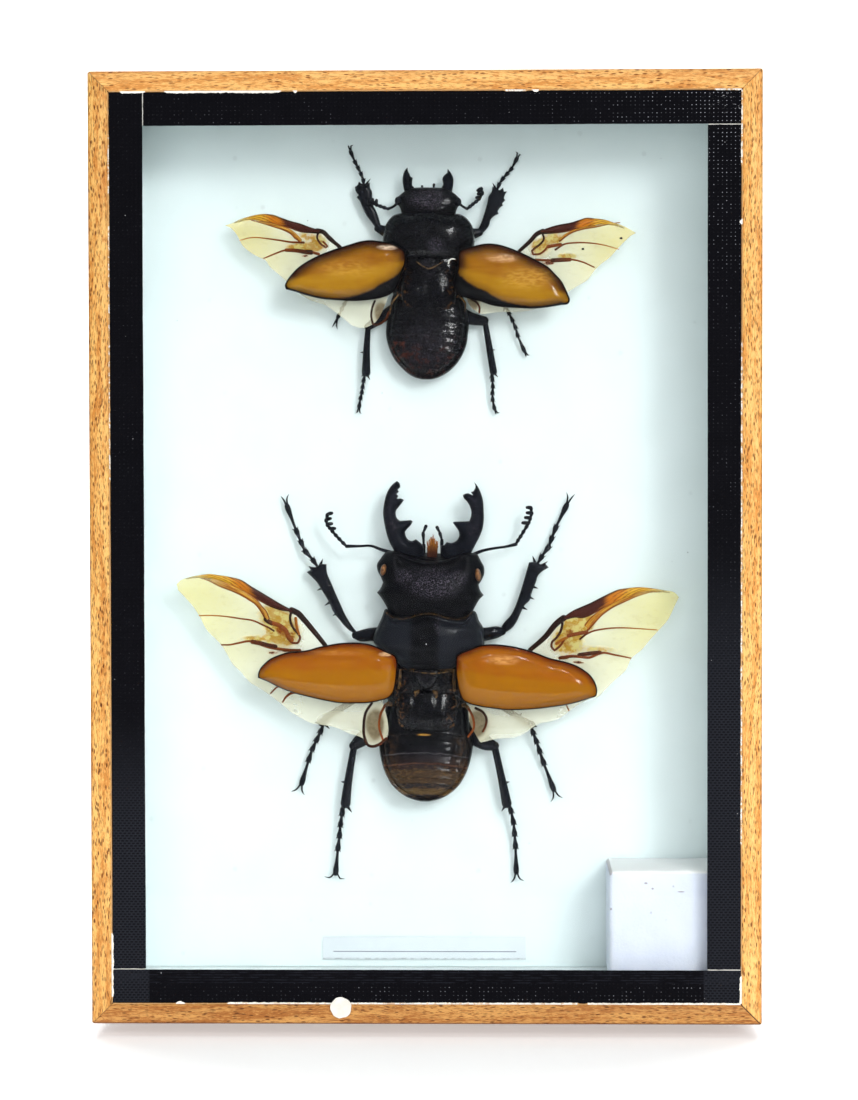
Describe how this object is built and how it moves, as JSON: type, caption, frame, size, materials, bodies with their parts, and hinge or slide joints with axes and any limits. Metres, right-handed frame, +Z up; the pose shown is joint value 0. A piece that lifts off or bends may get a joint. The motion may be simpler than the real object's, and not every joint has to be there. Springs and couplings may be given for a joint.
{
  "type": "framed stag beetle display",
  "caption": "Shallow wooden display case with a taped glass front, holding a male and a female stag beetle with elytra and hindwings spread on a white board.",
  "frame": {"origin": "bottom centre of the bounding box, in the plane the case stands on", "axes": "+X to the case's right as seen from the front, +Y towards its back board, +Z up along its height"},
  "size_m": [0.148, 0.0406, 0.21],
  "materials": {
    "pale_oak": "satin varnish, straight open grain",
    "glass": "clear, polished",
    "black_cloth_tape": "linen-textured, slight sheen",
    "white_board": "matte",
    "brown_back_board": "matte",
    "label_paper": "matte",
    "block_foam": "fine-celled foam, soft sheen",
    "dab_white": "matte",
    "black_shell": "glossy chitin",
    "elytron_brown": "glossy chitin",
    "elytron_ochre": "glossy chitin",
    "wing_membrane": "thin translucent membrane"
  },
  "bodies": {
    "root": {"bottom_rail": "pale_oak", "top_rail": "pale_oak", "left_rail": "pale_oak", "right_rail": "pale_oak", "glass_pane": "glass", "white_mounting_board": "white_board", "back_board": "brown_back_board", "left_tape": "black_cloth_tape", "top_tape": "black_cloth_tape", "right_tape": "black_cloth_tape", "bottom_tape": "black_cloth_tape", "corner_foam_block": "block_foam", "label_slip": "label_paper", "white_dab": "dab_white", "male_beetle": "black_shell", "male_left_elytron": "elytron_brown", "male_right_elytron": "elytron_brown", "male_left_hindwing": "wing_membrane", "male_right_hindwing": "wing_membrane", "female_beetle": "black_shell", "female_left_elytron": "elytron_ochre", "female_right_elytron": "elytron_ochre", "female_left_hindwing": "wing_membrane", "female_right_hindwing": "wing_membrane"}
  },
  "joints": []
}
